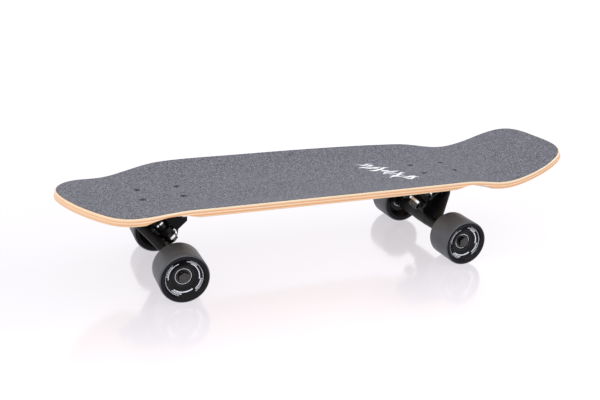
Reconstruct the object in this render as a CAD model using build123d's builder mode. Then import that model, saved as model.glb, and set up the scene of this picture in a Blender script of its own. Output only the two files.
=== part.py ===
"""Cruiser skateboard with a kick tail and two sprung steering trucks.

Millimetres. The origin is on the floor under the middle of the deck's length.
+X points to the kick tail, +Y across the deck and +Z up.
"""
from build123d import *
from math import cos, radians, sin
import os

os.makedirs("parts", exist_ok=True)

# Driving dimensions of the board
nose_x = -371.0
tail_x = 368.8
widest_x = -27.4
nose_kick_x = -282.4
nose_kick_radius = 180.0
nose_slope = 0.25
tail_kick_x = 226.1
tail_kick_radius = 234.0
tail_slope = 0.40
deck_half_width = 111.5
deck_thickness = 10.5
deck_top = 111.0
deck_flat_half = 30.0
concave_rise = 13.0
grip_thickness = 0.7
grip_inset = 1.2
well_radius = 85.0
well_depth = 5.3
well_tilt = 15.0
well_edge_y = 104.0
front_axle_x = -231.4
wheelbase = 407.5

# Wheels, bearings and axles
wheel_radius = 32.5
wheel_width = 46.0
bearing_recess = 9.7
bearing_outer_r = 11.0
bearing_inner_r = 4.0
bearing_width = 7.0
seal_outer_r = 10.2
ball_circle_r = 7.65
ball_r = 1.95
ball_gap = 0.05
ball_count = 7
core_r = 15.0
spacer_length = 10.0
speed_washer_thickness = 0.8
axle_nut_thickness = 5.0
axle_nut_across_flats = 12.7

# Mounting hardware
bolt_spacing_x = 53.98
bolt_spacing_y = 41.3
bolt_circle_offset = 6.0
bolt_hole_r = 2.6
bolt_r = 2.4
bolt_head_r = 4.6
riser_thickness = 5.0
flange_thickness = 6.5
flange_length = 67.0
flange_width = 55.0
tongue_reach = 46.0
tongue_width = 31.0
lock_nut_height = 5.5
lock_nut_across_flats = 8.7

# Truck castings
pivot_pin_r = 6.0
pivot_gap = 0.3
housing_r = 9.5
housing_end_r = 7.5
arm_r = 6.5
kingpin_r = 4.7
nut_across_flats = 14.3
nut_height = 6.5
washer_thickness = 1.5
ring_hole_r = 7.0

deck_bottom = deck_top - deck_thickness
riser_bottom = deck_bottom - riser_thickness
flange_bottom = riser_bottom - flange_thickness

# Each truck: which way its pivot points along X, where its axle is, the distance between
# the outer faces of its wheels, how far along X from the axle its wheel wells are, the pivot's
# place, how far apart the arms end, the kingpin's lower washer, tilt and stack, and the radius
# of the axle housing's waist.
trucks = {
    "front": dict(side=-1, axle_x=front_axle_x, track=219.0, well_x=5.0, pivot_reach=46.25,
                  pivot_height=80.0, arm_spread=1.5, washer_x=6.0, washer_z=48.5, tilt=36.0,
                  road_bushing=9.5, ring=7.0, board_bushing=11.5, washer_r=11.0, ring_r=15.0,
                  waist_r=9.5, shroud=True),
    "rear": dict(side=1, axle_x=front_axle_x + wheelbase, track=231.4, well_x=10.5,
                 pivot_reach=41.25, pivot_height=83.0, arm_spread=6.0, washer_x=18.0,
                 washer_z=58.5, tilt=43.0, road_bushing=9.0, ring=6.5, board_bushing=9.5,
                 washer_r=13.0, ring_r=16.0, waist_r=10.0, shroud=False),
}


def save(part, name):
    """Label a finished piece and write it to its own file."""
    part.label = name
    export_step(part, f"parts/{name}.step")


def smooth_step(t):
    """0 below 0, 1 above 1, and an S curve between them."""
    t = min(max(t, 0.0), 1.0)
    return t * t * (3.0 - 2.0 * t)


def kick(distance, radius, slope):
    """Rise of an end of the deck: an arc that runs on into a straight ramp."""
    if distance <= 0:
        return 0.0
    arc = min(distance, slope * radius)
    return arc * arc / (2.0 * radius) + (distance - arc) * slope


def deck_floor(x):
    """Height of the wood's flat middle at x."""
    nose_rise = kick(nose_kick_x - x, nose_kick_radius, nose_slope)
    return deck_top + nose_rise + kick(x - tail_kick_x, tail_kick_radius, tail_slope)


def edge_rise(x):
    """How far the concave lifts the deck's edge at x; it fades out towards both ends."""
    return concave_rise * smooth_step((x + 317.4) / 100.0) * smooth_step((273.6 - x) / 100.0)


def top_at(x, y):
    """Height of the deck's upper face."""
    span = max(abs(y) - deck_flat_half, 0.0) / (deck_half_width - deck_flat_half)
    return deck_floor(x) + edge_rise(x) * span ** 2


# ---------------------------------------------------------------- deck and grip
def board_sheet(top_offset, thickness):
    """A sheet wider than the deck, bent to its concave and its two kicks."""
    half = deck_half_width + 5.0
    middle = (half + deck_flat_half) / 2.0
    stations = [-385.0 + 20.0 * i for i in range(39)]
    with BuildPart() as sheet:
        for x in stations:
            low = deck_floor(x) + top_offset
            high = top_at(x, half) + top_offset
            with BuildSketch(Plane.YZ.offset(x)):
                with BuildLine():
                    Bezier((-half, high), (-middle, low), (-deck_flat_half, low))
                    Line((-deck_flat_half, low), (deck_flat_half, low))
                    Bezier((deck_flat_half, low), (middle, low), (half, high))
                    Line((half, high), (half, high - thickness))
                    Bezier((half, high - thickness), (middle, low - thickness),
                           (deck_flat_half, low - thickness))
                    Line((deck_flat_half, low - thickness), (-deck_flat_half, low - thickness))
                    Bezier((-deck_flat_half, low - thickness), (-middle, low - thickness),
                           (-half, high - thickness))
                    Line((-half, high - thickness), (-half, high))
                make_face()
        loft()
    return sheet.part


def board_end(sheet, lean, keep, inset):
    """The sheet cut to the board's plan, square to one end's ramp, and kept on that end's side.

    The plan is a rounded nose, a long waistless middle and a blunt kick tail.
    """
    side = [(-364.1, 28.5), (-345.9, 56), (-309.4, 83.7), (-267.4, 99), (-207.4, 109),
            (-127.4, 110.9), (widest_x, 111.3), (52.6, 110.6), (122.6, 108.5), (192.6, 103.5),
            (272.6, 96), (308.6, 93), (338.1, 86.5), (356.9, 73), (366.2, 50)]
    other_side = [(x, -y) for x, y in reversed(side)]
    across = 1.0 - inset / deck_half_width
    along = 1.0 - inset / tail_x
    plan = [(x * along, y * across) for x, y in [(nose_x, 0), *side, (tail_x, 0), *other_side]]
    cut = [(x - lean * (top_at(x, y) - deck_top), y) for x, y in plan]
    with BuildPart() as end:
        with BuildSketch(Plane.XY.offset(deck_top)):
            with BuildLine():
                Spline(*cut, periodic=True)
            make_face()
        extrude(amount=70, dir=(lean, 0, 1), both=True)
        add(sheet, mode=Mode.INTERSECT)
        split(bisect_by=Plane.YZ.offset(widest_x), keep=keep)
    return end.part


def board_layer(top_offset, thickness, inset):
    """One whole layer of the board, from its nose half and its tail half."""
    sheet = board_sheet(top_offset, thickness)
    nose_half = board_end(sheet, nose_slope, Keep.BOTTOM, inset)
    return nose_half + board_end(sheet, -tail_slope, Keep.TOP, inset)


def footprint(truck, grow):
    """Plan of a truck's flange: a rounded plate with a tongue under the pivot boss."""
    side = truck["side"]
    middle = truck["axle_x"] + side * bolt_circle_offset
    with BuildSketch(Plane.XY) as plan:
        with Locations((middle, 0)):
            RectangleRounded(flange_length + 2 * grow, flange_width + 2 * grow, 8)
        with Locations((middle + side * tongue_reach / 2, 0)):
            RectangleRounded(tongue_reach + 2 * grow, tongue_width + 2 * grow, 8)
        with Locations(*[(x, y) for x, y, z in bolt_points(truck, 0)]):
            Circle(bolt_hole_r, mode=Mode.SUBTRACT)
    return plan.sketch


def bolt_points(truck, z):
    """The four mounting holes of one truck at height z."""
    middle = truck["axle_x"] + truck["side"] * bolt_circle_offset
    return [(middle + i * bolt_spacing_x / 2, j * bolt_spacing_y / 2, z)
            for i in (-1, 1) for j in (-1, 1)]


all_bolts_at_top = [p for truck in trucks.values() for p in bolt_points(truck, deck_top)]
wood = board_layer(0.0, deck_thickness, 0.0)
grit_sheet = board_layer(grip_thickness, grip_thickness, grip_inset)

with BuildPart() as deck:
    add(wood)
    for truck in trucks.values():
        x = truck["axle_x"] + truck["side"] * truck["well_x"]
        crest = top_at(x, well_edge_y) - deck_thickness + well_depth
        for hand in (-1, 1):
            tilt = hand * well_tilt
            middle = Vector(x, hand * well_edge_y, crest) - Vector(
                0, -well_radius * sin(radians(tilt)), well_radius * cos(radians(tilt)))
            with Locations(Location(middle, (90 + tilt, 0, 0))):
                Cylinder(well_radius, 140, mode=Mode.SUBTRACT)
        with Locations((truck["axle_x"] + truck["side"] * 11.5, 0, deck_bottom)):
            Box(81, 58, 5, align=(Align.CENTER, Align.CENTER, Align.MAX), mode=Mode.SUBTRACT)
    with Locations(*all_bolts_at_top):
        CounterSinkHole(radius=bolt_hole_r, counter_sink_radius=bolt_head_r + 0.2,
                        counter_sink_angle=90)
save(deck.part, "deck")

with BuildPart() as grip_tape:
    add(grit_sheet)
    with Locations(*all_bolts_at_top):
        Cylinder(bolt_head_r + 0.2, 10, mode=Mode.SUBTRACT)
save(grip_tape.part, "grip_tape")


# ---------------------------------------------------------------- mounting hardware
def build_mounting(name, truck):
    """Riser pad, four countersunk bolts and their lock nuts."""
    head_depth = bolt_head_r - bolt_r
    bolt_bottom = flange_bottom - lock_nut_height - 1.0

    with BuildPart() as riser:
        with BuildSketch(Plane.XY.offset(riser_bottom)):
            add(footprint(truck, 0.5))
        extrude(amount=riser_thickness)
    save(riser.part, f"riser_pad_{name}")

    with BuildPart() as bolts:
        with Locations(*bolt_points(truck, bolt_bottom)):
            Cylinder(bolt_r, deck_top - head_depth - bolt_bottom,
                     align=(Align.CENTER, Align.CENTER, Align.MIN))
        with Locations(*bolt_points(truck, deck_top - head_depth)):
            Cone(bolt_r, bolt_head_r, head_depth, align=(Align.CENTER, Align.CENTER, Align.MIN))
        with Locations(*bolt_points(truck, deck_top)):
            Cylinder(bolt_head_r, 0.5, align=(Align.CENTER, Align.CENTER, Align.MIN))
        cross_z = deck_top + 0.5 - 1.6
        with Locations(*bolt_points(truck, cross_z)):
            Box(5.0, 1.1, 4, align=(Align.CENTER, Align.CENTER, Align.MIN), mode=Mode.SUBTRACT)
            Box(1.1, 5.0, 4, align=(Align.CENTER, Align.CENTER, Align.MIN), mode=Mode.SUBTRACT)
    save(bolts.part, f"deck_bolts_{name}")

    with BuildPart() as nuts:
        with BuildSketch(Plane.XY.offset(flange_bottom - lock_nut_height)):
            with Locations(*[(x, y) for x, y, z in bolt_points(truck, 0)]):
                RegularPolygon(lock_nut_across_flats / 2, 6, major_radius=False)
                Circle(bolt_r, mode=Mode.SUBTRACT)
        extrude(amount=lock_nut_height)
    save(nuts.part, f"lock_nuts_{name}")


# ---------------------------------------------------------------- trucks
def truck_planes(truck):
    """The planes and points that the pieces of a truck are built on."""
    side = truck["side"]
    tilt = radians(truck["tilt"])
    up = Vector(side * sin(tilt), 0, cos(tilt))
    washer = Vector(truck["axle_x"] - side * truck["washer_x"], 0, truck["washer_z"])
    ring_middle = washer + up * (truck["road_bushing"] + truck["ring"] / 2)
    pivot = Vector(truck["axle_x"] + side * truck["pivot_reach"], 0, truck["pivot_height"])
    kingpin = Plane(origin=washer, x_dir=(0, 1, 0), z_dir=up)
    steering = Plane(origin=pivot, x_dir=(0, 1, 0), z_dir=pivot - ring_middle)
    return kingpin, steering


def profile_on(plane):
    """A sketch plane whose x runs along the given plane's axis and whose y is the radius."""
    return Plane(origin=plane.origin, x_dir=plane.z_dir, z_dir=plane.z_dir.cross(plane.x_dir))


def turned(plane, points):
    """A turned piece: the closed outline of (distance along the axis, radius) points."""
    with BuildPart() as piece:
        with BuildSketch(profile_on(plane)):
            with BuildLine():
                Polyline(*points, close=True)
            make_face()
        revolve(axis=Axis(plane.origin, plane.z_dir))
    return piece.part


def cup_washer(plane, start, towards, radius):
    """A cup washer seated at start, with its rim turned towards the bushing."""
    face = start + towards * washer_thickness
    rim = start + towards * (washer_thickness + 2.2)
    return turned(plane, [(start, kingpin_r + 0.3), (start, radius - 0.6), (rim, radius),
                          (rim, radius - 1.2), (face, radius - 1.6), (face, kingpin_r + 0.3)])


def build_truck_stack(name, truck):
    """Kingpin, cup washers, bushings and kingpin nut."""
    kingpin_plane, steering = truck_planes(truck)
    ring_low = truck["road_bushing"]
    ring_high = ring_low + truck["ring"]
    stack_top = ring_high + truck["board_bushing"]
    seat = stack_top + washer_thickness
    head_low = seat + 10.0
    head_high = head_low + 6.0
    wide = truck["washer_r"] - 1.8
    bore = kingpin_r + 0.4

    foot = -washer_thickness - nut_height - 1.2
    head = turned(kingpin_plane, [(foot, 0), (foot, kingpin_r - 0.6), (foot + 0.6, kingpin_r),
                                  (head_low, kingpin_r), (head_low, 7.0), (head_high - 0.6, 7.0),
                                  (head_high, 6.4), (head_high, 0)])
    save(head, f"kingpin_{name}")

    road_bushing = turned(kingpin_plane, [(0, bore), (0, wide), (2.6, wide),
                                          (ring_low - 1.0, wide - 2.6), (ring_low, wide - 3.4),
                                          (ring_low, bore)])
    save(road_bushing, f"bushing_roadside_{name}")

    board_bushing = turned(kingpin_plane, [(ring_high, bore), (ring_high, wide - 0.9),
                                           (ring_high + 0.9, wide), (stack_top, wide),
                                           (stack_top, bore)])
    save(board_bushing, f"bushing_boardside_{name}")

    save(cup_washer(kingpin_plane, -washer_thickness, 1, truck["washer_r"]),
         f"cup_washer_roadside_{name}")
    save(cup_washer(kingpin_plane, seat, -1, truck["washer_r"] + 0.5),
         f"cup_washer_boardside_{name}")

    nut_high = -washer_thickness
    nut_low = nut_high - nut_height
    with BuildPart() as nut:
        with BuildSketch(kingpin_plane.offset(nut_low)):
            RegularPolygon(nut_across_flats / 2, 6, major_radius=False)
            Circle(kingpin_r, mode=Mode.SUBTRACT)
        extrude(amount=nut_high - nut_low)
        chamfer(nut.faces().sort_by(Axis(kingpin_plane.origin, kingpin_plane.z_dir))[0]
                .outer_wire().edges(), 0.8)
    save(nut.part, f"kingpin_nut_{name}")
    return seat, head_low


def build_baseplate(name, truck, seat, head_low):
    """Cast baseplate: bolted flange, kingpin boss and pivot boss with its urethane cup."""
    kingpin_plane, steering = truck_planes(truck)
    side = truck["side"]
    middle_x = truck["axle_x"] + side * bolt_circle_offset
    cup_outer_r = pivot_pin_r + pivot_gap + 2.0
    cup_mouth = -9.0

    with BuildPart() as plate:
        with BuildSketch(Plane.XY.offset(flange_bottom)):
            add(footprint(truck, 0.0))
        extrude(amount=flange_thickness)
        with BuildSketch(kingpin_plane.offset(seat)):
            Circle(14.5)
        extrude(amount=30, taper=-6)
        add(turned(steering, [(cup_mouth + 1.0, 0), (cup_mouth + 1.0, cup_outer_r + 2.8),
                              (3.5, cup_outer_r + 2.5), (10.5, 6.5), (24.0, 6.5), (24.0, 0)]))
        if truck["shroud"]:
            inner = middle_x - side * 33.0
            with BuildSketch(Plane.XZ):
                with BuildLine():
                    Polyline((inner, flange_bottom + 2), (inner, 74.0), (inner + side * 1.0, 72.5),
                             (inner + side * 13.5, 61.8), (inner + side * 30, 75.0),
                             (inner + side * 30, flange_bottom + 2), close=True)
                make_face()
            extrude(amount=14, both=True)
            with BuildSketch(kingpin_plane.offset(4)):
                Circle(truck["ring_r"] + 2.2)
            extrude(amount=seat - 4, mode=Mode.SUBTRACT)
        split(bisect_by=Plane.XY.offset(riser_bottom), keep=Keep.BOTTOM)
        with BuildSketch(kingpin_plane.offset(seat - 1)):
            Circle(kingpin_r)
        extrude(amount=60, mode=Mode.SUBTRACT)
        with BuildSketch(kingpin_plane.offset(head_low)):
            Circle(7.2)
        extrude(amount=40, mode=Mode.SUBTRACT)
        add(turned(steering, [(-28, 0), (-28, 13.0), (cup_mouth + 1.0, 13.0),
                              (cup_mouth + 1.0, cup_outer_r), (4.0, cup_outer_r), (9.0, 4.5),
                              (9.0, 0)]), mode=Mode.SUBTRACT)
        with BuildSketch(Plane.XY.offset(flange_bottom - 1)):
            with Locations(*[(x, y) for x, y, z in bolt_points(truck, 0)]):
                Circle(bolt_hole_r)
        extrude(amount=flange_thickness + 2, mode=Mode.SUBTRACT)
        with BuildSketch(Plane.XY.offset(flange_bottom)):
            with Locations(*[(x, y) for x, y, z in bolt_points(truck, 0)]):
                Circle(lock_nut_across_flats / 2 + 1.4)
        extrude(amount=-18, mode=Mode.SUBTRACT)
    save(plate.part, f"baseplate_{name}")

    inner_r = pivot_pin_r + pivot_gap
    cup = turned(steering, [(cup_mouth, inner_r), (cup_mouth, cup_outer_r + 1.0),
                            (cup_mouth + 1.0, cup_outer_r + 1.0), (cup_mouth + 1.0, cup_outer_r),
                            (4.0, cup_outer_r), (9.0, 4.5), (9.0, 0), (7.2, 0), (7.2, 2.0),
                            (3.0, inner_r)])
    save(cup, f"pivot_cup_{name}")


def build_hanger(name, truck):
    """Cast hanger: axle housing, kingpin ring, web, two arms and the pivot pin."""
    kingpin_plane, steering = truck_planes(truck)
    side = truck["side"]
    axle_x = truck["axle_x"]
    ring_low = truck["road_bushing"]
    ring_high = ring_low + truck["ring"]
    ring_middle = kingpin_plane.from_local_coords((0, 0, (ring_low + ring_high) / 2))
    shoulder = hanger_shoulder(truck)
    wheel_inner = truck["track"] / 2 - wheel_width
    axle_plane = Plane(origin=(axle_x, 0, wheel_radius), x_dir=(1, 0, 0), z_dir=(0, 1, 0))
    arm_foot = Vector(axle_x + side * 2.5, 31, 36)
    arm_top = steering.from_local_coords((0, 0, -9.0)) + Vector(0, truck["arm_spread"], -2.5)

    with BuildPart() as hanger:
        with BuildSketch(profile_on(axle_plane)):
            with BuildLine():
                Polyline((-shoulder, 0), (-shoulder, housing_end_r),
                         (-wheel_inner + 1.5, housing_end_r + 0.4), (-wheel_inner + 6.5, housing_r),
                         (-25.0, housing_r), (-12.0, truck["waist_r"]), (12.0, truck["waist_r"]),
                         (25.0, housing_r), (wheel_inner - 6.5, housing_r),
                         (wheel_inner - 1.5, housing_end_r + 0.4), (shoulder, housing_end_r),
                         (shoulder, 0), close=True)
            make_face()
        revolve(axis=Axis(axle_plane.origin, axle_plane.z_dir))
        for hand in (-1, 1):
            foot = Vector(arm_foot.X, hand * arm_foot.Y, arm_foot.Z)
            top = Vector(arm_top.X, hand * arm_top.Y, arm_top.Z)
            with BuildSketch(Plane(origin=foot, z_dir=top - foot)):
                Circle(arm_r + 0.5)
            with BuildSketch(Plane(origin=top, z_dir=top - foot)):
                Circle(arm_r)
            loft()
        with BuildSketch(Plane.XZ):
            with BuildLine():
                Polyline((axle_x - side * 3, wheel_radius), (ring_middle.X - side * 6, ring_middle.Z - 3),
                         (ring_middle.X + side * 4, ring_middle.Z + 3), (arm_top.X, arm_top.Z - 4),
                         (arm_top.X + side * 1, arm_top.Z - 8), (axle_x + side * 8, wheel_radius + 3),
                         close=True)
            make_face()
        extrude(amount=6.0, both=True)
        lean = Vector(arm_top.X - arm_foot.X, 0, arm_top.Z - arm_foot.Z)
        web_share = 0.62
        with BuildSketch(Plane(origin=(arm_foot.X, 0, arm_foot.Z), x_dir=(0, 1, 0),
                               z_dir=Vector(0, 1, 0).cross(lean))):
            with BuildLine():
                web_end = arm_foot.Y + (arm_top.Y - arm_foot.Y) * web_share
                Polyline((-arm_foot.Y, 0), (arm_foot.Y, 0), (web_end, lean.length * web_share),
                         (-web_end, lean.length * web_share), close=True)
            make_face()
        extrude(amount=3.5, both=True)
        with BuildSketch(kingpin_plane.offset(ring_low)):
            Circle(truck["ring_r"])
        extrude(amount=truck["ring"])
        with BuildSketch(steering.offset(-18.0)):
            Circle(pivot_pin_r + 1.2)
        extrude(amount=7.5)
        split(bisect_by=steering.offset(-10.5), keep=Keep.BOTTOM)
        with BuildSketch(kingpin_plane.offset(ring_low)):
            Circle(truck["washer_r"] + 2.2)
        extrude(amount=-ring_low - 4.0, mode=Mode.SUBTRACT)
        with BuildSketch(kingpin_plane.offset(-3.5)):
            Circle(nut_across_flats * 0.578 + 2.4)
        extrude(amount=-14, mode=Mode.SUBTRACT)
        with BuildSketch(kingpin_plane.offset(ring_high)):
            Circle(truck["ring_r"] - 0.8)
        extrude(amount=42, taper=-8, mode=Mode.SUBTRACT)
        with BuildSketch(kingpin_plane.offset(ring_low - 1)):
            Circle(ring_hole_r)
        extrude(amount=truck["ring"] + 2, mode=Mode.SUBTRACT)
        with BuildSketch(steering.offset(-10.5)):
            Circle(pivot_pin_r)
        extrude(amount=10.5 + 2.5)
        with BuildSketch(steering.offset(2.5)):
            Circle(pivot_pin_r)
        extrude(amount=3.0, taper=45)
        with BuildSketch(Plane.XZ):
            with Locations((axle_x, wheel_radius)):
                Circle(bearing_inner_r)
        extrude(amount=shoulder + 1, both=True, mode=Mode.SUBTRACT)
    save(hanger.part, f"hanger_{name}")


# ---------------------------------------------------------------- axle and wheels
def bearing_faces(truck):
    """Distance from the board's middle to the outer face of the outer bearing of a wheel."""
    return truck["track"] / 2 - bearing_recess


def hanger_shoulder(truck):
    """Distance from the board's middle to the shoulder that the inner speed washer rests on."""
    return bearing_faces(truck) - 2 * bearing_width - spacer_length - speed_washer_thickness


def tube_pieces(x, spans, inner_r, outer_r):
    """Plain tubes along the axle, one for each (start, end) span on either side."""
    with BuildPart() as tubes:
        for start, end in spans:
            for hand in (-1, 1):
                face = Plane(origin=(x, hand * start, wheel_radius), x_dir=(1, 0, 0),
                             z_dir=(0, hand, 0))
                with BuildSketch(face):
                    Circle(outer_r)
                    Circle(inner_r, mode=Mode.SUBTRACT)
                extrude(amount=end - start)
    return tubes.part


def build_axle_set(name, truck):
    """Axle, speed washers, bearing inner rings, spacers and axle nuts."""
    axle_x = truck["axle_x"]
    outer = bearing_faces(truck)
    inner = outer - 2 * bearing_width - spacer_length
    washer_out = outer + speed_washer_thickness
    nut_out = washer_out + axle_nut_thickness
    axle_half = nut_out + 1.0

    axle_plane = Plane(origin=(axle_x, 0, wheel_radius), x_dir=(1, 0, 0), z_dir=(0, 1, 0))
    axle = turned(axle_plane, [(-axle_half, 0), (-axle_half, bearing_inner_r - 0.6),
                               (-axle_half + 0.6, bearing_inner_r), (axle_half - 0.6, bearing_inner_r),
                               (axle_half, bearing_inner_r - 0.6), (axle_half, 0)])
    save(axle, f"axle_{name}")

    save(tube_pieces(axle_x, [(inner - speed_washer_thickness, inner), (outer, washer_out)],
                     bearing_inner_r, 6.0), f"speed_washers_{name}")
    save(tube_pieces(axle_x, [(inner + bearing_width, outer - bearing_width)], bearing_inner_r, 5.3),
         f"bearing_spacers_{name}")

    rings = tube_pieces(axle_x, [(inner, inner + bearing_width), (outer - bearing_width, outer)],
                        bearing_inner_r, 6.1)
    with BuildPart() as inner_rings:
        add(rings)
        for middle in (inner + bearing_width / 2, outer - bearing_width / 2):
            for hand in (-1, 1):
                with Locations(Location((axle_x, hand * middle, wheel_radius), (90, 0, 0))):
                    Torus(ball_circle_r, ball_r + ball_gap, mode=Mode.SUBTRACT)
    save(inner_rings.part, f"bearing_inner_rings_{name}")

    with BuildPart() as nuts:
        for hand in (-1, 1):
            face = Plane(origin=(axle_x, hand * washer_out, wheel_radius), x_dir=(0, 0, 1),
                         z_dir=(0, hand, 0))
            with BuildSketch(face):
                RegularPolygon(axle_nut_across_flats / 2, 6, major_radius=False)
                Circle(bearing_inner_r, mode=Mode.SUBTRACT)
            extrude(amount=axle_nut_thickness)
    save(nuts.part, f"axle_nuts_{name}")


def build_wheel(name, truck, hand):
    """One wheel: urethane tyre, core, two bearing outer rings, their seals and the balls."""
    outer = bearing_faces(truck)
    middle = truck["track"] / 2 - wheel_width / 2
    hub = Plane(origin=(truck["axle_x"], hand * middle, wheel_radius), x_dir=(1, 0, 0),
                z_dir=(0, hand, 0))
    half = wheel_width / 2
    outer_face = outer - middle
    outer_inside = outer_face - bearing_width
    inner_inside = outer_inside - spacer_length
    inner_face = inner_inside - bearing_width
    bearings = [(inner_face, inner_inside), (outer_inside, outer_face)]

    with BuildPart() as tyre:
        with BuildSketch(profile_on(hub)):
            with BuildLine():
                Polyline((-half, 24.0), (-half, wheel_radius), (half, wheel_radius), (half, 26.0),
                         (half - 1.5, 24.5), (outer_face + 1.6, core_r + 1.5), (outer_face + 1.0, core_r),
                         (inner_face - 1.5, core_r), close=True)
            make_face()
        revolve(axis=Axis(hub.origin, hub.z_dir))
        rims = tyre.edges().filter_by(GeomType.CIRCLE).filter_by(
            lambda edge: edge.radius > wheel_radius - 0.01)
        fillet(rims, 1.4)
    save(tyre.part, f"tyre_{name}")

    core = turned(hub, [(inner_face - 1.5, bearing_outer_r), (inner_face - 1.5, core_r),
                        (outer_face + 1.0, core_r), (outer_face + 1.0, bearing_outer_r + 0.6),
                        (outer_face + 0.2, bearing_outer_r), (outer_inside, bearing_outer_r),
                        (outer_inside, bearing_outer_r - 1.5), (inner_inside, bearing_outer_r - 1.5),
                        (inner_inside, bearing_outer_r)])
    save(core, f"wheel_core_{name}")

    with BuildPart() as rings:
        for low, high in bearings:
            add(turned(hub, [(low, bearing_outer_r - 0.3), (low + 0.3, bearing_outer_r),
                             (high - 0.3, bearing_outer_r), (high, bearing_outer_r - 0.3),
                             (high, seal_outer_r), (high - 1.0, seal_outer_r), (high - 1.0, 9.2),
                             (low + 1.0, 9.2), (low + 1.0, seal_outer_r), (low, seal_outer_r)]))
            with Locations(hub.offset((low + high) / 2)):
                Torus(ball_circle_r, ball_r + ball_gap, mode=Mode.SUBTRACT)
    save(rings.part, f"bearing_outer_rings_{name}")

    with BuildPart() as seals:
        for low, high in bearings:
            for face in (low + 0.3, high - 1.0):
                add(turned(hub, [(face, 6.5), (face, seal_outer_r), (face + 0.7, seal_outer_r),
                                 (face + 0.7, 6.5)]))
    save(seals.part, f"bearing_seals_{name}")

    with BuildPart() as balls:
        for low, high in bearings:
            with Locations(hub.offset((low + high) / 2)):
                with PolarLocations(ball_circle_r, ball_count):
                    Sphere(ball_r)
    save(balls.part, f"bearing_balls_{name}")


for name, truck in trucks.items():
    build_mounting(name, truck)
    seat, head_low = build_truck_stack(name, truck)
    build_baseplate(name, truck, seat, head_low)
    build_hanger(name, truck)
    build_axle_set(name, truck)
    for hand, hand_name in ((-1, "left"), (1, "right")):
        build_wheel(f"{name}_{hand_name}", truck, hand)
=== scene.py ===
import math

import bmesh
import bpy
import numpy as np
from mathutils import Matrix, Vector


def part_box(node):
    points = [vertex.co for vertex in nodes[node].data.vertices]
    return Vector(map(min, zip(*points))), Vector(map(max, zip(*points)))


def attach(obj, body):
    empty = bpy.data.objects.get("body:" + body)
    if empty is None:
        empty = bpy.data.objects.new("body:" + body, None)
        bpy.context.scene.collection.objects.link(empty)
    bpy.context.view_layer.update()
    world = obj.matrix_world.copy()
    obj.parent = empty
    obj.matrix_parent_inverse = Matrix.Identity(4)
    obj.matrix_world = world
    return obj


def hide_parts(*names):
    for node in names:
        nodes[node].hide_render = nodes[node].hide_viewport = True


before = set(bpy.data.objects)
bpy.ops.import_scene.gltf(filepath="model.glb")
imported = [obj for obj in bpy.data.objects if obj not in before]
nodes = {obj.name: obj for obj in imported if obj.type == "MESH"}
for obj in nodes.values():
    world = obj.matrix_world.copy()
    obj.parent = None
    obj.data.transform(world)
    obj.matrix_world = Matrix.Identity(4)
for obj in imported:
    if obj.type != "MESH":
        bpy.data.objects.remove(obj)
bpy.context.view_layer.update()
rng = np.random.default_rng(7)

# The deck's shape, in metres, as the CAD model has it
NOSE, TAIL, WIDEST = -0.3710, 0.3688, -0.0274
HALF_WIDTH = 0.1115
NOSE_KICK, TAIL_KICK = -0.2824, 0.2261
NOSE_KICK_RADIUS, TAIL_KICK_RADIUS = 0.180, 0.234
NOSE_SLOPE, TAIL_SLOPE = 0.25, 0.40
THICKNESS = 0.0105
FLAT_HALF = 0.030
CONCAVE = 0.013
CONCAVE_START, CONCAVE_END, CONCAVE_FADE = -0.3174, 0.2736, 0.100
GRIP = 0.0007
GRIP_INSET = 0.0012
WELL_RADIUS = 0.085
WELL_DEPTH = 0.0053
WELL_TILT = math.radians(15)
WELL_EDGE = 0.104
WELL_REACH = 0.09
WELL_SHIFTS = {"front": -0.005, "rear": 0.0105}
THINNEST = 0.0008
BOLT_HEAD_RADIUS = 0.0046
DECK_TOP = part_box("riser_pad_front")[1].z + THICKNESS

# How finely the board is meshed
OUTLINE_STEP = 0.003
FILL_ROWS = 14
SPINE_INSET = 0.06
SLOPE_PROBE = 0.001

# The wheels, the radius inside which their printed face starts, and the scale of its uvs
WHEEL_RADIUS = 0.0325
WHEEL_HALF_WIDTH = 0.023
FACE_RADIUS = 0.0300
DECIMETRES_PER_METRE = 10.0

# The painted mark, a row of dabs across the grip
DABS = 14
MARK_X, MARK_RUN, MARK_WANDER = 0.086, 0.034, 0.009
MARK_Y, MARK_ACROSS = 0.042, 0.078
PAINT_LIFT = 0.00008

# The floor, and the photograph's camera: its place in metres, its degrees clockwise from +Y seen
# from above, below level and of roll, and its lens and sensor in millimetres
FLOOR_REACH = 60
CAMERA_PLACE = (-0.43328, -0.97187, 0.44754)
CAMERA_TURN, CAMERA_TILT, CAMERA_ROLL = 22.28, 19.23, 1.83
LENS, SENSOR = 46.255, 36.0


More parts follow.
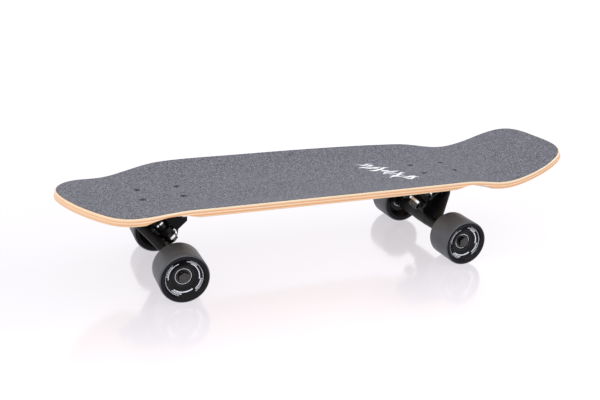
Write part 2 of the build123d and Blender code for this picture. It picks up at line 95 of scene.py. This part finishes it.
# ---------------------------------------------------------------- materials
class Shader:
    """A node material with a Principled shader, and short ways to make its nodes."""

    def __init__(self, name, **values):
        self.material = bpy.data.materials.new(name)
        self.material.use_nodes = True
        self.tree = self.material.node_tree
        self.surface = self.tree.nodes["Principled BSDF"]
        for key, value in values.items():
            self.surface.inputs[key.replace("_", " ")].default_value = value

    def node(self, kind, **inputs):
        made = self.tree.nodes.new("ShaderNode" + kind)
        for key, value in inputs.items():
            self.feed(made.inputs[key.replace("_", " ")], value)
        return made

    def feed(self, socket, value):
        if isinstance(value, bpy.types.NodeSocket):
            self.tree.links.new(value, socket)
        else:
            socket.default_value = value

    def here(self):
        return self.node("TexCoord").outputs["Object"]

    def uv(self, name):
        made = self.node("UVMap")
        made.uv_map = name
        return made.outputs["UV"]

    def split(self, vector):
        made = self.node("SeparateXYZ", Vector=vector)
        return made.outputs["X"], made.outputs["Y"], made.outputs["Z"]

    def join(self, x, y=0.0):
        return self.node("CombineXYZ", X=x, Y=y).outputs["Vector"]

    def scaled(self, vector, scale):
        made = self.node("Mapping", Vector=vector)
        made.inputs["Scale"].default_value = scale
        return made.outputs["Vector"]

    def noise(self, vector, scale, detail=3.0, rough=0.55):
        return self.node("TexNoise", Vector=vector, Scale=scale, Detail=detail,
                         Roughness=rough).outputs["Fac"]

    def math(self, operation, a, b=0.0, c=0.0):
        made = self.node("Math")
        made.operation = operation
        for socket, value in zip(made.inputs, (a, b, c)):
            self.feed(socket, value)
        return made.outputs[0]

    def ramp(self, value, stops):
        made = self.node("ValToRGB", Fac=value)
        while len(made.color_ramp.elements) < len(stops):
            made.color_ramp.elements.new(0.5)
        for element, (place, colour) in zip(made.color_ramp.elements, stops):
            element.position = place
            level = colour if isinstance(colour, tuple) else (colour,) * 3
            element.color = (*level, 1.0)
        return made.outputs["Color"]

    def mix(self, factor, a, b, blend="MIX"):
        made = self.node("Mix")
        made.data_type = "RGBA"
        made.blend_type = blend
        sockets = (made.inputs["Factor"], made.inputs[6], made.inputs[7])
        for socket, value in zip(sockets, (factor, a, b)):
            if isinstance(value, tuple):
                value = (*value, 1.0)
            self.feed(socket, value)
        return made.outputs[2]

    def bump(self, height, distance, strength):
        made = self.node("Bump", Height=height, Distance=distance, Strength=strength)
        return made.outputs["Normal"]

    def finish(self, colour, roughness=None, normal=None):
        self.feed(self.surface.inputs["Base Color"], colour)
        if roughness is not None:
            self.feed(self.surface.inputs["Roughness"], roughness)
        if normal is not None:
            self.feed(self.surface.inputs["Normal"], normal)
        return self.material


def grit_material():
    """Gritty grip sheet: dark grains with paler ones among them, the paler ones painted glints of the grit.
    """
    s = Shader("grip_grit", Specular_IOR_Level=0.45)
    grains = s.node("TexVoronoi", Vector=s.here(), Scale=1150.0).outputs["Color"]
    patches = s.noise(s.here(), 460.0, 4.0, 0.8)
    broad = s.noise(s.here(), 14.0, 2.0)
    level = s.math("MULTIPLY_ADD", patches, 0.55, s.math("MULTIPLY", s.split(grains)[0], 0.45))
    # The palest stop of this ramp paints glints of the grit into its colour
    base = s.ramp(level, [(0.27, (0.022, 0.022, 0.027)), (0.50, (0.094, 0.094, 0.117)),
                          (0.73, (0.29, 0.29, 0.34))])
    worn = s.mix(s.math("MULTIPLY", broad, 0.22), base, (0.12, 0.12, 0.142))
    return s.finish(worn, s.ramp(patches, [(0.3, 0.92), (0.8, 0.62)]),
                    s.bump(level, 0.0008, 1.0))


def ply_material():
    """Cut edge of the laminate: cream, peach and orange plies, more even towards the nose."""
    s = Shader("ply_edges", Coat_Weight=0.25, Coat_Roughness=0.25)
    along, depth, _ = s.split(s.uv("ply"))
    drift = s.math("MULTIPLY", s.math("SUBTRACT", s.noise(s.join(along), 9.0, 2.0), 0.5), 0.05)
    level = s.math("ADD", depth, drift)
    cream, pale, orange = (0.88, 0.68, 0.44), (0.93, 0.79, 0.59), (0.82, 0.37, 0.16)
    peach = (0.82, 0.47, 0.25)
    plies = s.ramp(level, [(0.0, cream), (0.10, pale), (0.22, cream), (0.29, peach), (0.34, orange),
                           (0.43, orange), (0.48, pale), (0.56, cream), (0.62, peach), (0.68, orange),
                           (0.78, orange), (0.84, cream), (0.91, cream), (1.0, peach)])
    nose = s.ramp(s.math("MULTIPLY_ADD", s.split(s.here())[0], -8.0, -2.0), [(0.0, 0.0), (0.8, 0.62)])
    plies = s.mix(nose, plies, (0.86, 0.57, 0.35))
    stretched = s.join(s.math("MULTIPLY", along, 60.0), s.math("MULTIPLY", depth, 26.0))
    grain = s.noise(stretched, 1.0, 5.0, 0.65)
    tone = s.ramp(grain, [(0.3, 0.80), (0.7, 1.06)])
    return s.finish(s.mix(1.0, plies, tone, "MULTIPLY"), s.ramp(grain, [(0.3, 0.55), (0.7, 0.38)]),
                    s.bump(grain, 0.0002, 0.5))


def veneer_material():
    """Face veneer of the underside: long maple grain under lacquer."""
    s = Shader("maple_veneer", Coat_Weight=0.35, Coat_Roughness=0.18)
    long = s.scaled(s.here(), (5.0, 95.0, 30.0))
    grain = s.noise(long, 1.0, 6.0, 0.62)
    figure = s.node("TexWave", Vector=s.scaled(s.here(), (1.2, 22.0, 4.0)), Scale=1.6, Distortion=5.0,
                    Detail=3.0).outputs["Fac"]
    pores = s.ramp(s.noise(s.scaled(s.here(), (60.0, 1500.0, 200.0)), 1.0, 2.0), [(0.30, 0.0), (0.37, 1.0)])
    base = s.ramp(grain, [(0.25, (0.56, 0.34, 0.17)), (0.5, (0.76, 0.53, 0.31)), (0.8, (0.86, 0.66, 0.43))])
    bands = s.mix(s.math("MULTIPLY", figure, 0.22), base, (0.60, 0.37, 0.19))
    colour = s.mix(s.math("MULTIPLY_ADD", pores, -0.25, 0.25), bands, (0.34, 0.19, 0.09))
    return s.finish(colour, s.ramp(grain, [(0.2, 0.5), (0.8, 0.33)]), s.bump(grain, 0.00015, 0.4))


def coated_material(name, colour, rough, grit=0.00008, gloss=0.16):
    """Powder coat, black oxide or moulded nylon: one dark colour with fine texture and a little rub."""
    s = Shader(name, Specular_IOR_Level=gloss)
    peel = s.noise(s.here(), 900.0, 3.0)
    rub = s.noise(s.here(), 55.0, 4.0, 0.6)
    lighter = tuple(1.9 * c + 0.004 for c in colour)
    tint = s.ramp(rub, [(0.35, colour), (0.75, lighter)])
    return s.finish(tint, s.ramp(rub, [(0.3, rough + 0.08), (0.7, rough - 0.07)]), s.bump(peel, grit, 0.6))


def metal_material(name, colour, rough, brushed=0.0):
    """Plated or ground steel with fine scratches and a faint haze."""
    s = Shader(name, Metallic=1.0)
    haze = s.noise(s.here(), 120.0, 4.0)
    scratch = s.noise(s.scaled(s.here(), (1.0, 14.0, 1.0)), 700.0, 3.0)
    tint = s.ramp(haze, [(0.3, tuple(0.9 * c for c in colour)), (0.7, colour)])
    return s.finish(tint, s.ramp(scratch, [(0.3, rough + 0.06), (0.7, max(rough - 0.03, 0.04))]),
                    s.bump(scratch, 0.00003 + brushed, 0.5))


def urethane_material(name, colour, rough):
    """Cast urethane or rubber: satin, with cloudy variation and fine mould texture."""
    s = Shader(name, Specular_IOR_Level=0.5)
    cloud = s.noise(s.here(), 38.0, 4.0, 0.6)
    fine = s.noise(s.here(), 1300.0, 2.0)
    tint = s.ramp(cloud, [(0.3, colour), (0.75, tuple(1.35 * c for c in colour))])
    return s.finish(tint, s.ramp(cloud, [(0.3, rough + 0.05), (0.7, rough - 0.05)]),
                    s.bump(fine, 0.00006, 0.6))


def wheel_face_material():
    """Glossy moulded wheel face with a plain printed ring of arcs and ticks. The radius in its uvs
    is in decimetres."""
    s = Shader("wheel_face", Specular_IOR_Level=0.16)
    turn, radius, _ = s.split(s.uv("ring"))

    def band(value, low, high):
        return s.math("MULTIPLY", s.math("GREATER_THAN", value, low), s.math("LESS_THAN", value, high))

    def spread(count, duty, shift):
        cell = s.math("FRACT", s.math("MULTIPLY_ADD", turn, float(count), shift))
        return s.math("LESS_THAN", cell, duty)

    arc = s.math("MULTIPLY", band(radius, 0.195, 0.206), spread(3, 0.62, 0.1))
    fine = s.math("MULTIPLY", band(radius, 0.2360, 0.2440), spread(120, 0.5, 0.0))
    fine = s.math("MULTIPLY", fine, spread(2, 0.7, 0.3))
    blocks = s.math("MULTIPLY", band(radius, 0.2120, 0.2290), spread(66, 0.58, 0.2))
    blocks = s.math("MULTIPLY", blocks, spread(4, 0.45, 0.55))
    printed = s.math("MINIMUM", s.math("ADD", s.math("ADD", arc, fine), blocks), 1.0)
    worn = s.math("MULTIPLY", printed, s.ramp(s.noise(s.here(), 500.0, 3.0), [(0.3, 0.85), (0.55, 1.0)]))
    cloud = s.noise(s.here(), 60.0, 3.0)
    black = s.ramp(cloud, [(0.3, (0.0030, 0.0030, 0.0040)), (0.7, (0.0055, 0.0055, 0.0070))])
    return s.finish(s.mix(worn, black, (0.90, 0.93, 1.0)), s.ramp(cloud, [(0.3, 0.26), (0.7, 0.18)]),
                    s.bump(s.noise(s.here(), 800.0, 2.0), 0.00002, 0.4))


def paint_material():
    """Dry brushed white paint for the mark on the grip."""
    s = Shader("mark_paint", Roughness=0.8)
    dabs = s.noise(s.here(), 900.0, 3.0, 0.7)
    return s.finish(s.ramp(dabs, [(0.30, (0.45, 0.45, 0.48)), (0.5, (0.86, 0.86, 0.88))]),
                    s.ramp(dabs, [(0.3, 0.9), (0.7, 0.6)]), s.bump(dabs, 0.0003, 0.8))


grit = grit_material()
ply = ply_material()
veneer = veneer_material()
black_coat = coated_material("black_powder_coat", (0.004, 0.004, 0.0048), 0.36)
black_steel = coated_material("black_oxide", (0.003, 0.003, 0.004), 0.14, 0.00002, 0.12)
chrome = metal_material("polished_chrome", (0.86, 0.86, 0.88), 0.08)
zinc = metal_material("bright_zinc", (0.62, 0.62, 0.64), 0.24, 0.00003)
dark_steel = metal_material("blackened_steel", (0.075, 0.072, 0.072), 0.22, 0.00003)
ground = metal_material("ground_steel", (0.78, 0.78, 0.80), 0.14)
tread = urethane_material("wheel_tread", (0.054, 0.060, 0.070), 0.46)
face = wheel_face_material()
dark_urethane = urethane_material("dark_urethane", (0.008, 0.008, 0.009), 0.35)
riser_rubber = urethane_material("riser_urethane", (0.009, 0.009, 0.010), 0.6)
seal_rubber = urethane_material("seal_rubber", (0.006, 0.006, 0.007), 0.4)
nylon = coated_material("core_nylon", (0.004, 0.004, 0.005), 0.20, 0.00003, 0.2)
paint = paint_material()

cad_materials = {
    "riser_pad": riser_rubber, "deck_bolts": black_steel, "lock_nuts": zinc, "baseplate": black_coat,
    "pivot_cup": dark_urethane, "kingpin": dark_steel, "kingpin_nut": dark_steel,
    "cup_washer_boardside": chrome, "cup_washer_roadside": chrome,
    "bushing_boardside": dark_urethane, "bushing_roadside": dark_urethane, "hanger": black_coat,
    "axle": dark_steel, "axle_nuts": dark_steel, "speed_washers": dark_steel,
    "bearing_inner_rings": ground, "bearing_spacers": zinc, "wheel_core": nylon,
    "bearing_outer_rings": ground, "bearing_seals": seal_rubber, "bearing_balls": ground}

for name, piece in nodes.items():
    kind = name.split("_front")[0].split("_rear")[0]
    if kind in cad_materials:
        piece.data.materials.clear()
        piece.data.materials.append(cad_materials[kind])


# ---------------------------------------------------------------- mesh helpers
def add_piece(name, points, faces, materials, body, replaces=(), indices=None, uv=None, sharp=35.0):
    """A smooth-shaded mesh piece that rides on a body. uv is (layer name, uv of each corner)."""
    mesh = bpy.data.meshes.new(name)
    mesh.from_pydata([tuple(p) for p in points], [], faces)
    for material in materials:
        mesh.materials.append(material)
    if indices is not None:
        mesh.polygons.foreach_set("material_index", indices)
    if uv is not None:
        layer = mesh.uv_layers.new(name=uv[0])
        layer.data.foreach_set("uv", np.asarray(uv[1], float).ravel())
    mesh.polygons.foreach_set("use_smooth", [True] * len(mesh.polygons))
    made = bmesh.new()
    made.from_mesh(mesh)
    for edge in made.edges:
        if len(edge.link_faces) == 2:
            edge.smooth = edge.calc_face_angle(0.0) < math.radians(sharp)
    made.to_mesh(mesh)
    made.free()
    piece = bpy.data.objects.new(name, mesh)
    bpy.context.scene.collection.objects.link(piece)
    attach(piece, body)
    if replaces:
        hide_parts(*replaces)
    return piece


def rounded(points, steps=5):
    """A closed profile from (x, y, corner radius) points, curved at each corner that has a radius."""
    made = []
    for i, (x, y, radius) in enumerate(points):
        here = np.array((x, y), float)
        if not radius:
            made.append(here)
            continue
        before = np.array(points[i - 1][:2], float) - here
        after = np.array(points[(i + 1) % len(points)][:2], float) - here
        reach = min(radius, 0.45 * np.linalg.norm(before), 0.45 * np.linalg.norm(after))
        start = here + before / np.linalg.norm(before) * reach
        end = here + after / np.linalg.norm(after) * reach
        for k in range(steps + 1):
            t = k / steps
            made.append((1 - t) ** 2 * start + 2 * t * (1 - t) * here + t * t * end)
    return np.array(made)


def turned_mesh(profile, middle, outward, segments):
    """Points, faces and (turn, radius) uvs of a closed (along, radius) profile turned about Y. The
    inner half's radius is given as 0, so that only the outer face carries the printed ring."""
    count = len(profile)
    points, faces, uvs = [], [], []
    for i in range(segments):
        angle = 2 * math.pi * i / segments
        for along, radius in profile:
            points.append((middle[0] + radius * math.cos(angle), middle[1] + outward * along,
                           middle[2] + radius * math.sin(angle)))
    for i in range(segments):
        j = (i + 1) % segments
        for k in range(count):
            m = (k + 1) % count
            quad = [(i, k), (i, m), (j, m), (j, k)]
            if outward < 0:
                quad.reverse()
            faces.append([a * count + b for a, b in quad])
            for a, b in quad:
                turn = (i + 1) / segments if a == j else i / segments
                uvs.append((turn, profile[b][1] * DECIMETRES_PER_METRE if profile[b][0] > 0 else 0.0))
    return points, faces, uvs


# ---------------------------------------------------------------- deck and grip
def smooth_step(t):
    """0 below 0, 1 above 1, and an S curve between them."""
    t = np.clip(t, 0.0, 1.0)
    return t * t * (3.0 - 2.0 * t)


def kick(distance, radius, slope):
    """Rise of an end at a distance past its bend: an arc, then a straight ramp."""
    distance = np.maximum(distance, 0.0)
    arc = np.minimum(distance, slope * radius)
    return arc * arc / (2.0 * radius) + (distance - arc) * slope


def top_at(x, y):
    """Height of the wood's upper face."""
    nose_rise = kick(NOSE_KICK - x, NOSE_KICK_RADIUS, NOSE_SLOPE)
    tail_rise = kick(x - TAIL_KICK, TAIL_KICK_RADIUS, TAIL_SLOPE)
    fade_in = smooth_step((x - CONCAVE_START) / CONCAVE_FADE)
    fade_out = smooth_step((CONCAVE_END - x) / CONCAVE_FADE)
    span = np.maximum(np.abs(y) - FLAT_HALF, 0.0) / (HALF_WIDTH - FLAT_HALF)
    return DECK_TOP + nose_rise + tail_rise + CONCAVE * fade_in * fade_out * span ** 2


def well_at(x, y):
    """Height of the wheel wells' roof, or far below the deck away from them."""
    roof = np.full(np.shape(x), -1.0)
    for end, shift in WELL_SHIFTS.items():
        low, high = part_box("axle_" + end)
        middle = (low.x + high.x) / 2 + shift
        crest = top_at(np.array(middle), np.array(WELL_EDGE)) - THICKNESS + WELL_DEPTH
        core_y = WELL_EDGE + WELL_RADIUS * math.sin(WELL_TILT)
        core_z = crest - WELL_RADIUS * math.cos(WELL_TILT)
        inside = np.clip(WELL_RADIUS ** 2 - (x - middle) ** 2, 0.0, None)
        height = core_z + (np.abs(y) - core_y) * math.tan(WELL_TILT) + np.sqrt(inside) / math.cos(WELL_TILT)
        roof = np.maximum(roof, np.where(np.abs(x - middle) < WELL_REACH, height, -1.0))
    return roof


def closed_spline(points, spacing):
    """Points about a spacing apart on a smooth closed curve through the given points."""
    points = np.asarray(points, float)
    count = len(points)
    step = np.linalg.norm(np.roll(points, -1, 0) - points, axis=1)
    matrix = np.zeros((count, count))
    right = np.zeros((count, 2))
    for i in range(count):
        before, after = step[i - 1], step[i]
        matrix[i, i - 1] = before
        matrix[i, i] = 2 * (before + after)
        matrix[i, (i + 1) % count] = after
        right[i] = 6 * ((points[(i + 1) % count] - points[i]) / after - (points[i] - points[i - 1]) / before)
    bend = np.linalg.solve(matrix, right)
    made = []
    for i in range(count):
        j = (i + 1) % count
        h = step[i]
        parts = max(2, int(round(h / spacing)))
        for k in range(parts):
            b = k / parts
            a = 1 - b
            made.append(a * points[i] + b * points[j]
                        + ((a ** 3 - a) * bend[i] + (b ** 3 - b) * bend[j]) * h * h / 6)
    return np.array(made)


def board_outline(inset):
    """The board's outline from above, drawn in by an inset. One side's points are mirrored."""
    side = [(-0.3641, 0.0285), (-0.3459, 0.056), (-0.3094, 0.0837), (-0.2674, 0.099), (-0.2074, 0.109),
            (-0.1274, 0.1109), (WIDEST, 0.1113), (0.0526, 0.1106), (0.1226, 0.1085), (0.1926, 0.1035),
            (0.2726, 0.096), (0.3086, 0.093), (0.3381, 0.0865), (0.3569, 0.073), (0.3662, 0.050)]
    along, across = 1 - inset / TAIL, 1 - inset / HALF_WIDTH
    half = [(x * along, y * across) for x, y in side]
    other = [(x, -y) for x, y in reversed(half)]
    return closed_spline([(NOSE * along, 0), *half, (TAIL * along, 0), *other], OUTLINE_STEP)


def board_mesh(outline, rings, lift, wells):
    """Mesh of a sheet bent like the deck. rings are (inset, depth) from the top's middle edge round
    to the underside's; the top and underside are filled in towards a line along the middle. The
    edge is square to the ramp of the end that it is on, and slides along X as it goes down."""
    ahead = np.roll(outline, -1, 0) - np.roll(outline, 1, 0)
    inward = np.stack([ahead[:, 1], -ahead[:, 0]], 1) / np.linalg.norm(ahead, axis=1)[:, None]
    spine_x = np.clip(outline[:, 0], NOSE + SPINE_INSET, TAIL - SPINE_INSET)
    spine = np.stack([spine_x, np.zeros(len(outline))], 1)
    lean = np.where(outline[:, 0] < WIDEST, -NOSE_SLOPE, TAIL_SLOPE)
    fills = [1 - k / FILL_ROWS for k in range(FILL_ROWS)]
    top_fill = [(*rings[0], share) for share in fills]
    edge = [(*ring, 0.0) for ring in rings]
    bottom_fill = [(*rings[-1], share) for share in reversed(fills)]
    places, depth_shares = [], []
    for inset, depth, share in top_fill + edge + bottom_fill:
        flat = (outline + inward * inset) * (1 - share) + spine * share
        ahead_z = top_at(flat[:, 0] + SLOPE_PROBE, flat[:, 1])
        behind_z = top_at(flat[:, 0] - SLOPE_PROBE, flat[:, 1])
        steep = (ahead_z - behind_z) / (2 * SLOPE_PROBE)
        flat[:, 0] += lean * np.clip(steep / lean, 0.0, 1.0) * (depth - lift) * (1 - share)
        top = top_at(flat[:, 0], flat[:, 1]) + lift
        z = top - depth
        if wells:
            z = np.maximum(z, np.minimum(well_at(flat[:, 0], flat[:, 1]), top - THINNEST))
        places.append(np.column_stack([flat, z]))
        depth_shares.append((top - z) / THICKNESS)
    points = np.concatenate(places)
    depths = np.concatenate(depth_shares)
    count = len(outline)
    steps = np.linalg.norm(np.roll(outline, -1, 0) - outline, axis=1)
    travel = np.concatenate([[0.0], np.cumsum(steps)])
    edge_rows = range(FILL_ROWS, FILL_ROWS + len(rings) - 1)
    faces, uvs, indices = [], [], []
    for row in range(len(places) - 1):
        for i in range(count):
            j = (i + 1) % count
            quad = [(row, i), (row + 1, i), (row + 1, j), (row, j)]
            faces.append([r * count + c for r, c in quad])
            uvs += [(travel[i + 1] if c == j else travel[i], depths[r * count + c]) for r, c in quad]
            indices.append(0 if row in edge_rows else 1)
    return points, faces, uvs, indices


# The edges' profiles: distance in from the outline and depth below the sheet's top
deck_rings = [(0.0030, 0.0), (0.0009, 0.0), (0.0003, 0.0002), (0.0, 0.0007), (0.0, 0.0022), (0.0, 0.0040),
              (0.0, 0.0060), (0.0, 0.0078), (0.0001, 0.0088), (0.0006, 0.0097), (0.0015, 0.0103),
              (0.0030, 0.0105)]
points, faces, uvs, indices = board_mesh(board_outline(0.0), deck_rings, 0.0, True)
deck = add_piece("deck_laminate", points, faces, [ply, veneer], "board", ("deck",),
                 indices, ("ply", uvs), 40.0)

grip_rings = [(0.0010, 0.0), (0.0002, 0.0), (0.0, 0.0001), (0.0, 0.0006), (0.0003, 0.0007), (0.0030, 0.0007)]
points, faces, uvs, indices = board_mesh(board_outline(GRIP_INSET), grip_rings, GRIP, False)
grip = add_piece("grip_sheet", points, faces, [grit], "board", ("grip_tape",),
                 None, ("ply", uvs), 40.0)


def drill(piece, radius, depth):
    """Cuts a round hole at each of the eight bolt heads, down to half the depth below their tops."""
    cutter_mesh = bpy.data.meshes.new("cutter")
    cut = bmesh.new()
    for end in ("front", "rear"):
        low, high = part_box("deck_bolts_" + end)
        for x in (low.x + BOLT_HEAD_RADIUS, high.x - BOLT_HEAD_RADIUS):
            for y in (low.y + BOLT_HEAD_RADIUS, high.y - BOLT_HEAD_RADIUS):
                place = Matrix.Translation((x, y, high.z))
                bmesh.ops.create_cone(cut, cap_ends=True, segments=40, radius1=radius, radius2=radius,
                                      depth=depth, matrix=place)
    cut.to_mesh(cutter_mesh)
    cut.free()
    cutter = bpy.data.objects.new("cutter", cutter_mesh)
    bpy.context.scene.collection.objects.link(cutter)
    modifier = piece.modifiers.new("holes", "BOOLEAN")
    modifier.operation = "DIFFERENCE"
    modifier.solver = "EXACT"
    modifier.object = cutter
    bpy.context.view_layer.update()
    shaped = bpy.data.meshes.new_from_object(piece.evaluated_get(bpy.context.evaluated_depsgraph_get()))
    piece.modifiers.clear()
    piece.data = shaped
    bpy.data.objects.remove(cutter)


drill(grip, 0.00468, 0.010)
drill(deck, 0.0048, 0.006)


# ---------------------------------------------------------------- painted mark
def stroke(line, widths, count=40, passes=12):
    """A ribbon of paint lying on the grip along a smoothed line of (x, y) points."""
    line = np.asarray(line, float)
    fine = np.linspace(0, len(line) - 1, count)
    path = np.stack([np.interp(fine, range(len(line)), line[:, k]) for k in (0, 1)], 1)
    for _ in range(passes):
        path[1:-1] = (path[:-2] + path[2:] + 2 * path[1:-1]) / 4
    width = np.interp(fine, range(len(widths)), widths) * rng.uniform(0.82, 1.1, len(fine))
    ahead = np.gradient(path, axis=0)
    side = np.stack([-ahead[:, 1], ahead[:, 0]], 1) / np.linalg.norm(ahead, axis=1)[:, None]
    rows = [path + side * (share * width)[:, None] for share in (-0.5, -0.17, 0.17, 0.5)]
    made, quads = [], []
    for row in rows:
        z = top_at(row[:, 0], row[:, 1]) + GRIP + PAINT_LIFT
        made += list(np.column_stack([row, z]))
    for r in range(len(rows) - 1):
        for i in range(count - 1):
            quads.append([r * count + i, r * count + i + 1, (r + 1) * count + i + 1, (r + 1) * count + i])
    return made, quads


points, faces = [], []
for k in range(DABS):
    t = k / (DABS - 1)
    x = MARK_X + MARK_RUN * t + rng.uniform(-MARK_WANDER, MARK_WANDER)
    y = MARK_Y - MARK_ACROSS * t
    reach = rng.uniform(0.006, 0.014)
    bow = rng.uniform(-0.006, 0.006)
    line = [(x - reach, y + bow), (x - 0.3 * reach, y - bow), (x + 0.4 * reach, y + 0.6 * bow),
            (x + reach, y)]
    widths = [0.0008, rng.uniform(0.003, 0.0055), rng.uniform(0.002, 0.005), 0.0006]
    made, quads = stroke(line, widths)
    faces += [[len(points) + corner for corner in quad] for quad in quads]
    points += made
add_piece("painted_mark", points, faces, [paint], "board")


# ---------------------------------------------------------------- wheels
wheel_profile = rounded([
    (-WHEEL_HALF_WIDTH, 0.0255, 0.0008), (-WHEEL_HALF_WIDTH, WHEEL_RADIUS, 0.0022),
    (WHEEL_HALF_WIDTH, WHEEL_RADIUS, 0.0026), (WHEEL_HALF_WIDTH, 0.0268, 0.0012),
    (WHEEL_HALF_WIDTH - 0.0022, 0.0256, 0.0006), (WHEEL_HALF_WIDTH - 0.0030, 0.0250, 0.0),
    (0.0152, 0.0172, 0.0012), (0.0143, 0.0150, 0.0004), (-0.0122, 0.0150, 0.0),
    (-0.0126, 0.0176, 0.0010)])


def cast_wheel(end, hand):
    """One wheel's urethane, with its tread and printed face, round the CAD tyre's middle."""
    low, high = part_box(f"tyre_{end}_{hand}")
    middle = (low + high) / 2
    outward = -1 if hand == "left" else 1
    points, faces, uvs = turned_mesh(wheel_profile, middle, outward, 128)
    indices = []
    for quad in faces:
        radii = [math.hypot(points[k][0] - middle.x, points[k][2] - middle.z) for k in quad]
        indices.append(0 if min(radii) > FACE_RADIUS else 1)
    add_piece(f"wheel_{end}_{hand}_cast", points, faces, [tread, face], f"wheel_{end}_{hand}",
              (f"tyre_{end}_{hand}",), indices, ("ring", uvs), 30.0)


for end in ("front", "rear"):
    for hand in ("left", "right"):
        cast_wheel(end, hand)


# ---------------------------------------------------------------- floor, light and camera
def floor_material():
    """Pale studio floor whose glow is painted light: it lifts the shade under the board and is brighter
    towards -Y.
    """
    s = Shader("studio_floor", Roughness=0.16, Coat_Weight=1.0, Coat_Roughness=0.10)
    # Painted light: the floor's emission fills in shade and grows brighter towards -Y
    painted_glow_share = s.math("MULTIPLY_ADD", s.split(s.here())[1], -2.5, 0.25)
    s.feed(s.surface.inputs["Emission Strength"], s.ramp(painted_glow_share, [(0.12, 0.70), (0.5, 0.76), (1.0, 1.0)]))
    s.feed(s.surface.inputs["Emission Color"], (0.985, 0.95, 1.0, 1.0))
    cloud = s.noise(s.here(), 0.6, 2.0)
    return s.finish(s.ramp(cloud, [(0.3, (0.10, 0.095, 0.10)), (0.7, (0.12, 0.115, 0.12))]))


corners = [(x * FLOOR_REACH, y * FLOOR_REACH, 0) for x, y in ((-1, -1), (1, -1), (1, 1), (-1, 1))]
floor_mesh = bpy.data.meshes.new("floor")
floor_mesh.from_pydata(corners, [], [(0, 1, 2, 3)])
floor_mesh.materials.append(floor_material())
floor = bpy.data.objects.new("floor", floor_mesh)
bpy.context.scene.collection.objects.link(floor)

world = bpy.data.worlds.new("studio")
bpy.context.scene.world = world
world.use_nodes = True
world.node_tree.nodes["Background"].inputs["Color"].default_value = (0.98, 0.985, 1.0, 1.0)
world.node_tree.nodes["Background"].inputs["Strength"].default_value = 1.08


def softbox(name, place, target, size, watts):
    """A rectangular area light at a place, turned towards a target."""
    data = bpy.data.lights.new(name, "AREA")
    data.shape = "RECTANGLE"
    data.size, data.size_y = size
    data.energy = watts
    made = bpy.data.objects.new(name, data)
    made.location = place
    made.rotation_euler = (Vector(target) - Vector(place)).to_track_quat("-Z", "Y").to_euler()
    bpy.context.scene.collection.objects.link(made)


softbox("overhead", (0.1, 0.3, 2.6), (0, 0, 0.1), (3.6, 2.6), 34.0)
softbox("left_fill", (-2.6, -1.2, 1.5), (0, 0, 0.1), (2.4, 1.6), 12.0)

turn, tilt, roll = math.radians(CAMERA_TURN), math.radians(CAMERA_TILT), math.radians(CAMERA_ROLL)
ahead = Vector((math.sin(turn) * math.cos(tilt), math.cos(turn) * math.cos(tilt), -math.sin(tilt)))
level = Vector((math.cos(turn), -math.sin(turn), 0.0))
up = level.cross(ahead)
right = level * math.cos(roll) + up * math.sin(roll)
above = up * math.cos(roll) - level * math.sin(roll)
camera = bpy.data.objects.new("camera", bpy.data.cameras.new("camera"))
camera.data.sensor_width = SENSOR
camera.data.lens = LENS
basis = Matrix((right, above, -ahead)).transposed().to_4x4()
camera.matrix_world = Matrix.Translation(CAMERA_PLACE) @ basis
bpy.context.scene.collection.objects.link(camera)
bpy.context.scene.camera = camera
bpy.context.scene.view_settings.view_transform = "Standard"
